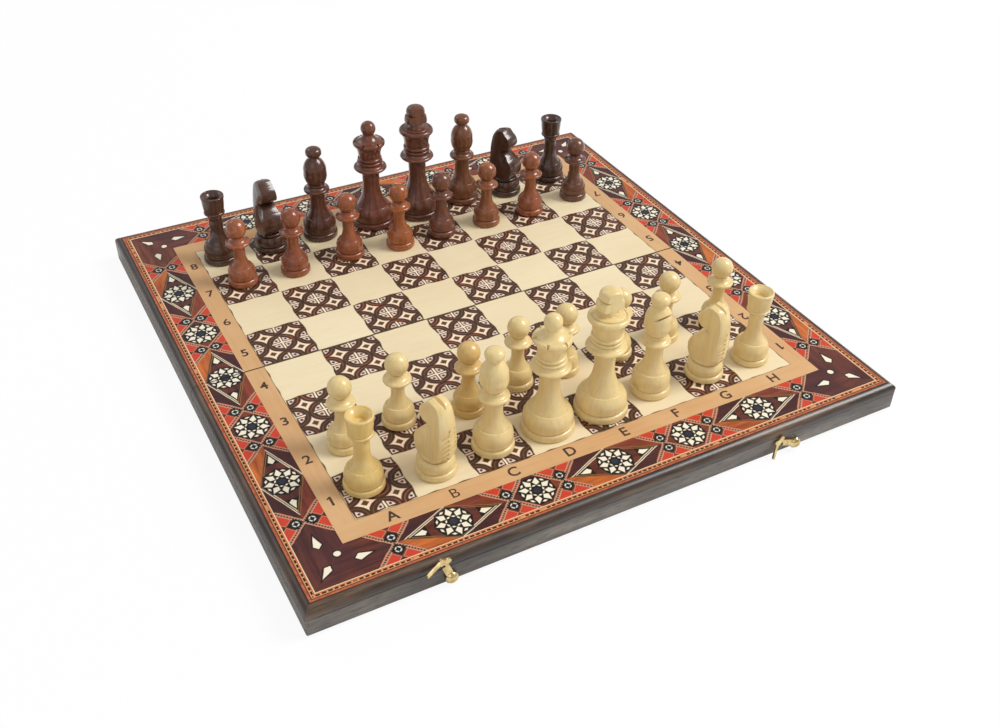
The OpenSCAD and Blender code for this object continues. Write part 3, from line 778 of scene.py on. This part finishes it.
def turned_foot(name, radius, disc, neck_radius, neck_height):
    """Base disc, fine groove and round skirt, up to a step at the foot of the neck."""
    work = Turning(name, radius - 1.1)
    work.curve(radius, 0.32 * disc, 0.207, 5)
    work.curve(radius - 0.1, 0.62 * disc, 0.03, 2)
    work.curve(radius - 1.5, disc, 0.19, 6)
    work.cut(radius - 1.7, disc + 0.1)
    work.cut(radius - 1.7, disc + 0.5)
    work.cut(radius - 1.2, disc + 0.65)
    swell = disc + (neck_height - disc) * 0.22
    work.curve(radius - 1.1, swell, 0.1, 4)
    work.curve(neck_radius + 1.0, neck_height - 0.6, 0.11, 9)
    work.curve(neck_radius + 0.5, neck_height - 0.2, 0.15, 3)
    work.cut(neck_radius, neck_height - 0.3)
    return work


def base_ring(node):
    """Lowest and highest X and Y of the base disc that a chessman stands on."""
    disc = [v.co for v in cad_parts[node].data.vertices if v.co.z < TOP + 3 * MM]
    across, along = [v.x for v in disc], [v.y for v in disc]
    return min(across), max(across), min(along), max(along)


def measure(node):
    """Radius of a chessman's base and its height, in millimetres."""
    left, right, _, _ = base_ring(node)
    return (right - left) / 2 / MM, (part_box(node)[1].z - TOP) / MM


def turn_pawn():
    r, h = measure("white_pawn_a")
    work = turned_foot("pawn", r, 0.10 * h, 0.64 * r, 0.285 * h)
    work.curve(0.082 * h, 0.49 * h, -0.08, 10)
    work.cut(0.083 * h, 0.55 * h)
    work.curve(0.112 * h, 0.617 * h, -0.12, 6)
    work.bead(0.17 * h, 0.622 * h, 0.672 * h)
    work.curve(0.088 * h, 0.738 * h, -0.17, 7)
    work.cut(0.079 * h, 0.742 * h)
    work.ball(0.14 * h, h, 0.04, 20)
    pawn = work.off()
    smooth(pawn)
    return pawn


def turn_rook():
    r, h = measure("white_rook_a")
    rim = 0.157 * h
    work = turned_foot("rook", r, 0.085 * h, 0.67 * r, 0.29 * h)
    work.curve(0.092 * h, 0.545 * h, -0.09, 10)
    work.cut(0.093 * h, 0.60 * h)
    work.curve(0.116 * h, 0.722 * h, -0.1, 7)
    work.bead(0.142 * h, 0.724 * h, 0.767 * h)
    work.cut(0.132 * h, 0.768 * h)
    work.curve(0.15 * h, 0.955 * h, 0.02, 6)
    work.cut(rim - 0.35, 0.962 * h)
    work.curve(rim, 0.968 * h, 0.2, 3)
    work.cut(rim, 0.988 * h)
    work.curve(rim - 0.6, h, 0.207, 4)
    work.cut(0.134 * h, h)
    work.curve(0.128 * h, 0.993 * h, 0.2, 3)
    # the bowl, from its lip down to the middle
    work.curve(0.06 * h, 0.905 * h, 0.14, 8)
    work.curve(0.004 * h, 0.893 * h, 0.05, 4)
    rook = work.off()
    smooth(rook)
    return rook


def turn_bishop():
    r, h = measure("white_bishop_c")
    work = turned_foot("bishop", r, 0.072 * h, 0.70 * r, 0.235 * h)
    work.curve(0.077 * h, 0.42 * h, -0.08, 10)
    work.cut(0.077 * h, 0.45 * h)
    work.curve(0.098 * h, 0.512 * h, -0.12, 6)
    work.bead(0.131 * h, 0.516 * h, 0.555 * h)
    work.curve(0.086 * h, 0.582 * h, -0.15, 5)
    work.bead(0.091 * h, 0.583 * h, 0.604 * h)
    work.cut(0.08 * h, 0.605 * h)
    work.curve(0.115 * h, 0.735 * h, 0.12, 9)
    work.curve(0.056 * h, 0.882 * h, 0.13, 10)
    work.curve(0.052 * h, 0.902 * h, -0.1, 3)
    work.curve(0.081 * h, 0.945 * h, 0.19, 7)
    work.curve(0.058 * h, 0.988 * h, 0.16, 6)
    work.curve(0.004 * h, h, 0.07, 5)
    bishop = work.off()
    saw = added(bpy.ops.mesh.primitive_cube_add, size=1)
    saw.dimensions = (0.20 * h * MM, 0.35 * h * MM, 1.1 * MM)
    saw.rotation_euler = (0, math.radians(-36), 0)
    saw.location = (0.128 * h * MM, 0, 0.852 * h * MM)
    bpy.ops.object.transform_apply()
    boolean(bishop, saw, "DIFFERENCE")
    smooth(bishop)
    return bishop


def royal_top(work, neck, collar, crown_foot, rim, low, high):
    """Collar, two rings and flaring crown, up to the outer edge of its top."""
    s = (high - low) / 24
    work.curve(1.3 * neck, low - 0.2, -0.12, 6)
    work.curve(collar, low + 1.5 * s, 0.19, 6)
    work.curve(collar - 1.9 * s, low + 3.1 * s, 0.19, 6)
    work.curve(0.74 * collar, low + 5 * s, -0.16, 5)
    work.bead(0.78 * collar, low + 5.1 * s, low + 7.6 * s)
    work.cut(crown_foot - 0.2, low + 7.75 * s)
    work.bead(crown_foot + 0.7 * s, low + 8 * s, low + 10.4 * s)
    work.curve(crown_foot, low + 12.3 * s, -0.12, 4)
    work.curve(rim - 0.5, low + 20.8 * s, -0.09, 9)
    work.curve(rim, low + 22.2 * s, 0.16, 5)
    work.curve(rim - 1.5 * s, high, 0.19, 6)


def turn_queen():
    r, h = measure("white_queen")
    rim, high = 0.142 * h, 0.82 * h
    work = turned_foot("queen", r, 0.06 * h, 0.70 * r, 0.195 * h)
    work.curve(0.078 * h, 0.46 * h, -0.09, 11)
    royal_top(work, 0.078 * h, 0.148 * h, 0.10 * h, rim, 0.545 * h, high)
    work.cut(0.84 * rim, high - 0.1)
    work.curve(0.047 * h, 0.878 * h, -0.12, 9)
    work.ball(0.067 * h, h, 0.05, 18)
    queen = work.off()
    points = 6
    notches = []
    for i in range(points):
        turn = math.radians(i * 360 / points - 75)
        out = Vector((math.cos(turn), math.sin(turn), 0))
        place = Vector((0, 0, high + 0.6))
        notches.append(wedge(place + out * 0.80 * rim, place + out * (rim + 3), 4.6, 5.6, (0, 0, 1)))
    boolean(queen, gather(notches, "crown notches"), "DIFFERENCE")
    clean(queen)
    smooth(queen)
    return queen


def turn_king():
    r, h = measure("white_king")
    rim, high = 0.142 * h, 0.80 * h
    work = turned_foot("king", r, 0.06 * h, 0.70 * r, 0.19 * h)
    work.curve(0.074 * h, 0.45 * h, -0.09, 11)
    royal_top(work, 0.074 * h, rim - 0.05, 0.103 * h, rim, 0.53 * h, high)
    work.cut(0.83 * rim, high - 0.05)
    work.cut(0.80 * rim, high - 0.5)
    work.cut(0.76 * rim, high - 0.4)
    work.curve(0.70 * rim, high + 0.7, 0.2, 4)
    work.cut(0.01 * h, 0.818 * h)
    king = work.off()

    arm, lobe = 0.094 * h, 0.078 * h
    work = Turning("finial", 0.082 * h, 0.795 * h)
    work.curve(0.055 * h, 0.845 * h, -0.12, 6)
    work.curve(arm - 1.2, 0.852 * h, -0.1, 3)
    work.curve(arm, 0.866 * h, 0.19, 4)
    work.curve(arm - 0.3, 0.90 * h, 0.05, 4)
    work.curve(arm - 1.6, 0.918 * h, 0.19, 4)
    work.cut(0.062 * h, 0.921 * h)
    work.cut(lobe - 0.5, 0.926 * h)
    work.curve(lobe, 0.937 * h, 0.16, 4)
    work.curve(0.062 * h, 0.984 * h, 0.12, 7)
    work.curve(0.004 * h, h, 0.07, 6)
    finial = work.off()
    half = 0.0575 * h
    slice_off(finial, (0, half, 0), (0, 1, 0))
    slice_off(finial, (0, -half, 0), (0, -1, 0))
    nicks = []
    for side in (-1, 1):
        x, z = side * (arm + 0.5), 0.923 * h
        nicks.append(wedge((x, -10, z), (x, 10, z), 3.0, 3.6, (side, 0, 0)))
    boolean(finial, gather(nicks, "side nicks"), "DIFFERENCE")
    boolean(king, finial, "UNION")
    clean(king)
    smooth(king)
    return king


def outline_plate(points, half_width):
    """A plate with that outline in the XZ plane, half_width to either side; in millimetres."""
    last = points[0]
    plate = added(bpy.ops.mesh.primitive_plane_add, size=MM, location=(last[0] * MM, 0, last[1] * MM))
    bpy.ops.object.transform_apply()
    edit_all()
    bpy.ops.mesh.merge(type="CENTER")
    for point in points[1:]:
        step = ((point[0] - last[0]) * MM, 0, (point[1] - last[1]) * MM)
        bpy.ops.mesh.extrude_region_move(TRANSFORM_OT_translate={"value": step})
        last = point
    bpy.ops.mesh.select_all(action="SELECT")
    bpy.ops.mesh.edge_face_add()
    bpy.ops.transform.translate(value=(0, -half_width * MM, 0))
    bpy.ops.mesh.extrude_region_move(TRANSFORM_OT_translate={"value": (0, 2 * half_width * MM, 0)})
    bpy.ops.mesh.select_all(action="SELECT")
    bpy.ops.mesh.normals_make_consistent(inside=False)
    bpy.ops.object.mode_set(mode="OBJECT")
    return plate


def path(start, *legs):
    """Points from start through legs of (x, z, bow)."""
    points = [start]
    for x, z, bow in legs:
        points += bowed(points[-1], (x, z), bow, 7)
    return points


def soften(piece, width):
    """A fine round on every sharp edge of a solid; width in millimetres."""
    select_only(piece)
    modifier = piece.modifiers.new("soften", "BEVEL")
    modifier.width = width * MM
    modifier.segments = 2
    modifier.limit_method = "ANGLE"
    modifier.angle_limit = math.radians(38)
    bpy.ops.object.modifier_apply(modifier="soften")


KNIGHT_DRAWN = 54        # height at which the knight's sizes below are drawn
KNIGHT_SIDE = (          # start, then legs of (x, z, bow), the last ones well behind the head
    (1.5, 11.5), (10.2, 21.5, 0.17), (5.6, 31.4, 0.14), (-1.6, 35.9, 0.1), (-2.1, 37.0, -0.2),
    (-0.6, 37.6, -0.1), (6.7, 43.5, 0.19), (3.0, 50.2, 0.14), (-1.0, 54.4, 0.02),
    (-20, 56, 0), (-20, 11.5, 0),
)


def nape_radius(z):
    """About the radius of a knight's turned blank at that height, as drawn."""
    if z < 21:
        return 12.3 - (21 - z) ** 2 * 0.04
    return 12.3 if z < 31 else 12.3 - (z - 31) * 0.1


def knight_head(s):
    """Head and breast: a turned blank cut to its side outline, with flat, hollowed cheeks."""
    work = Turning("knight head", 9.4 * s, 12.5 * s)
    work.curve(12.3 * s, 21 * s, 0.12, 7)
    work.curve(12.2 * s, 31 * s, 0.04, 6)
    work.curve(10.6 * s, 47 * s, 0.03, 7)
    work.curve(7.8 * s, 52 * s, 0.06, 5)
    work.curve(0.2 * s, 54 * s, 0.06, 6)
    head = work.off()
    side = [(x * s, z * s) for x, z in path(*KNIGHT_SIDE)]
    boolean(head, outline_plate(side, 20), "INTERSECT")
    lean = Vector((0, 1, 0.075)).normalized()
    slice_off(head, (0, 8.0 * s, 12 * s), lean)
    slice_off(head, (0, -8.0 * s, 12 * s), Vector((0, -lean.y, lean.z)))
    hollows = []
    for edge in (-1, 1):
        ball = added(bpy.ops.mesh.primitive_uv_sphere_add, segments=48, ring_count=24, radius=11 * s * MM)
        ball.location = Vector((2.5, edge * 16.0, 34.5)) * s * MM
        bpy.ops.object.transform_apply()
        hollows.append(ball)
    boolean(head, gather(hollows, "cheek hollows"), "DIFFERENCE")
    soften(head, 0.8 * s)
    clean(head)
    return head


def mane_cuts(s):
    """A line down the nape, and six slanting cuts on each side of it."""
    top, foot = ((-nape_radius(z) * s, 0, z * s) for z in (37, 15))
    cuts = [wedge(foot, top, 1.4 * s, 1.7 * s, (-1, 0, 0))]
    for row in range(6):
        for edge in (-1, 1):
            z = 17.0 + row * 3.3 - 0.4 * edge
            ends = []
            for out, rise in ((0.5, 0.0), (4.8, -1.9 * edge)):
                radius = nape_radius(z + rise)
                ends.append(Vector((-math.sqrt(radius ** 2 - out ** 2), edge * out, z + rise)) * s)
            away = (ends[0] + ends[1]) / 2
            cuts.append(wedge(ends[0], ends[1], 1.9 * s, 2.2 * s, (away.x, away.y, 0)))
    return cuts


def carve_knight():
    r, h = measure("white_knight_b")
    s = h / KNIGHT_DRAWN
    head = knight_head(s)
    # cleft between the ears, deepest at the nape
    cleft = wedge((-16 * s, 0, 51.6 * s), (1.5 * s, 0, 57.2 * s), 8.4 * s, 6.8 * s, (0, 0, 1))
    for cut in [cleft, *mane_cuts(s)]:
        boolean(head, cut, "DIFFERENCE")
    work = turned_foot("knight", r, 4.6 * s, 0.72 * r, 12.2 * s)
    work.bead(0.71 * r, 12.1 * s, 14.1 * s)
    knight = work.off()
    boolean(knight, head, "UNION")
    clean(knight)
    smooth(knight, 30)
    return knight


def men(side, kind):
    """The nodes of one side's men of that kind."""
    return [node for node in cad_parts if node.split("_")[:2] == [side, kind]]


TURNS = {                # degrees about a man's own axis, for the men that face another way than +X
    "white_knight_b": 106, "white_knight_g": 108, "black_knight_b": -85, "black_knight_g": -65,
    "white_bishop_c": 50, "white_bishop_f": -78, "black_bishop_c": 60, "black_bishop_f": 70,
}


def man_wood(node, side, plain):
    """The wood of one chessman: its own where TONES lists it, and otherwise the plain one."""
    if node not in TONES:
        return plain
    make = boxwood if side == "white" else stained
    return make(node.replace("_", " ") + " wood", TONES[node])


def place_man(pattern, node, wood):
    """A copy of the pattern at the place of one chessman's CAD form, which it replaces."""
    left, right, front, back = base_ring(node)
    man = pattern.copy()
    man.data = pattern.data.copy()
    man.name = node + "_turned"
    bpy.context.collection.objects.link(man)
    select_only(man)
    man.rotation_euler = (0, 0, math.radians(TURNS.get(node, 0)))
    man.location = ((left + right) / 2, (front + back) / 2, TOP)
    bpy.ops.object.transform_apply()
    man.data.materials.clear()
    man.data.materials.append(wood)
    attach(man, node)
    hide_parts(node)


def place_men():
    """Each kind is made once, and each chessman is a copy on its own square."""
    makers = {
        "king": turn_king, "queen": turn_queen, "bishop": turn_bishop,
        "knight": carve_knight, "rook": turn_rook, "pawn": turn_pawn,
    }
    plain = boxwood("boxwood", BOXWOOD)
    for kind, make in makers.items():
        pattern = make()
        for side in ("white", "black"):
            for node in men(side, kind):
                place_man(pattern, node, man_wood(node, side, plain))
        bpy.data.objects.remove(pattern, do_unlink=True)


# ---------------------------------------- coordinates on the band

LETTER_HEIGHT = 7.5 * MM
FONT_PER_HEIGHT = 1.37                   # size of the built-in font for capitals one unit high
SIGN_DEPTH = 0.02 * MM                   # half of a sign's thickness
BOLD = 0.22 * MM
THICKENING = {"B": 0.0, "6": 0.13 * MM}  # signs whose outlines would fold over if made as bold


def lettering_ink():
    ink = Finish("burnt lettering", roughness=0.45)
    cloud = ink.noise(900, 3)
    ink.colour(ink.ramp(cloud, (0.35, srgb(58, 36, 28)), (0.7, srgb(92, 60, 40))))
    ink.rough(0.4 + cloud * 0.15)
    return ink.material


def add_flag(figure):
    """The short slanting stroke at the head of the figure 1."""
    stroke, weight, slant = 2.1 * MM, 1.0 * MM, 38
    head = max(v.co.y for v in figure.data.vertices)
    side = min(v.co.x for v in figure.data.vertices)
    flag = added(bpy.ops.mesh.primitive_cube_add, size=1)
    flag.scale = (stroke, weight, 2 * SIGN_DEPTH)
    flag.rotation_euler = (0, 0, math.radians(slant))
    flag.location = (side - 0.35 * MM, head - 1.15 * MM, 0)
    bpy.ops.object.transform_apply()
    boolean(figure, flag, "UNION")


def letter(sign, x, y, turn, ink, body):
    """One thin sign on the band, made from text and kept as a mesh."""
    text = added(bpy.ops.object.text_add)
    text.data.body = sign
    text.data.align_x = "CENTER"
    text.data.align_y = "CENTER"
    text.data.size = LETTER_HEIGHT * FONT_PER_HEIGHT
    text.data.extrude = SIGN_DEPTH
    text.data.offset = THICKENING.get(sign, BOLD)
    bpy.ops.object.convert(target="MESH")
    sign_mesh = bpy.context.object
    edit_all()
    bpy.ops.mesh.remove_doubles(threshold=0.005 * MM)
    bpy.ops.mesh.normals_make_consistent(inside=False)
    bpy.ops.object.mode_set(mode="OBJECT")
    if sign == "1":
        add_flag(sign_mesh)
    sign_mesh.name = f"coordinate_{sign}_{'near' if turn == 0 else 'far'}_{body.split('_')[0]}"
    sign_mesh.rotation_euler = (0, 0, turn)
    sign_mesh.location = (x, y, TOP + SIGN_DEPTH / 2)
    bpy.ops.object.transform_apply()
    sign_mesh.data.materials.clear()
    sign_mesh.data.materials.append(ink)
    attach(sign_mesh, body)


def coordinates():
    """Letters along the front and back, figures along the sides; the far ones face the far player."""
    ink = lettering_ink()
    middle = (FIELD_HALF + BAND_OUT) / 2
    for i in range(2 * SQUARES_OUT):
        along = (i + 0.5 - SQUARES_OUT) * SQUARE
        half = "white_half" if i < SQUARES_OUT else "black_half"
        letter(FILES[i].upper(), along, -middle, 0, ink, "white_half")
        letter(FILES[i].upper(), along, middle, math.pi, ink, "black_half")
        letter(str(i + 1), -middle, along, 0, ink, half)
        letter(str(i + 1), middle, along, math.pi, ink, half)


# ---------------------------------------- floor, light and camera

FLOOR_WIDTH = 40
SKY_STRENGTH = 0.5
FLOOR_GLOW = 0.92        # share of the floor's look that is plain white to the camera


def white_floor():
    """A floor that the camera sees almost white, with the faint shadow that the object leaves."""
    floor = Finish("pale floor", roughness=0.9, sheen=0.0)
    cloud = floor.noise(3, 2)
    floor.colour(floor.ramp(cloud, (0.3, srgb(242, 242, 242)), (0.7, srgb(246, 246, 246))))
    seen = floor.node("ShaderNodeLightPath", {}, [], output="Is Camera Ray")
    glow = floor.node("ShaderNodeEmission", {}, {"Color": (1, 1, 1, 1), "Strength": 1.0})
    lit = Wire(floor, floor.shader.outputs["BSDF"])
    both = floor.node("ShaderNodeMixShader", {}, [seen * FLOOR_GLOW, lit, glow])
    floor.tree.links.new(both.socket, floor.tree.nodes["Material Output"].inputs["Surface"])
    return floor.material


def studio():
    """Floor, three soft lamps and the sky."""
    floor = added(bpy.ops.mesh.primitive_plane_add, size=FLOOR_WIDTH)
    floor.name = "floor"
    floor.data.materials.append(white_floor())
    lamps = (
        ("key", (2.1, -0.8, 2.4), 1.4, 85.0),
        ("fill", (-1.6, -1.4, 1.6), 1.6, 5.0),
        ("back", (-1.0, 2.4, 2.2), 1.4, 8.0),
    )
    for name, place, size, power in lamps:
        bpy.ops.object.light_add(type="AREA", location=place)
        lamp = bpy.context.object
        lamp.name = name
        lamp.data.size = size
        lamp.data.energy = power
        aim = Vector((0, 0, 0.03)) - Vector(place)
        lamp.rotation_euler = aim.to_track_quat("-Z", "Y").to_euler()
    sky()


def sky():
    """Soft white light from all round, which the camera sees as plain bright white."""
    world = bpy.data.worlds.new("studio")
    bpy.context.scene.world = world
    world.use_nodes = True
    nodes, links = world.node_tree.nodes, world.node_tree.links
    soft, plain = nodes["Background"], nodes.new("ShaderNodeBackground")
    for background, strength in ((soft, SKY_STRENGTH), (plain, 1.0)):
        background.inputs["Color"].default_value = (1.0, 1.0, 1.0, 1.0)
        background.inputs["Strength"].default_value = strength
    seen, both = nodes.new("ShaderNodeLightPath"), nodes.new("ShaderNodeMixShader")
    links.new(seen.outputs["Is Camera Ray"], both.inputs["Fac"])
    links.new(soft.outputs["Background"], both.inputs[1])
    links.new(plain.outputs["Background"], both.inputs[2])
    links.new(both.outputs["Shader"], nodes["World Output"].inputs["Surface"])


CAMERA_PLACE = Vector((-0.29374, -0.56227, TOP + 0.44462))
CAMERA_AZIMUTH = 29.23       # degrees from +Y towards +X
CAMERA_DOWN = 38.03          # degrees below level
CAMERA_ROLL = 1.40           # degrees
CAMERA_LENS = 40.23          # mm, as is the width of the sensor
CAMERA_SENSOR = 36


def camera():
    bpy.ops.object.camera_add(location=CAMERA_PLACE)
    view = bpy.context.object
    view.data.lens = CAMERA_LENS
    view.data.sensor_width = CAMERA_SENSOR
    view.data.clip_start = 0.01
    turn = Matrix.Rotation(math.radians(-CAMERA_AZIMUTH), 4, "Z")
    tilt = Matrix.Rotation(math.radians(90 - CAMERA_DOWN), 4, "X")
    roll = Matrix.Rotation(math.radians(CAMERA_ROLL), 4, "Z")
    view.rotation_euler = (turn @ tilt @ roll).to_euler()
    bpy.context.scene.camera = view
    bpy.context.scene.view_settings.view_transform = "Standard"


finish_nodes()
place_men()
coordinates()
studio()
camera()
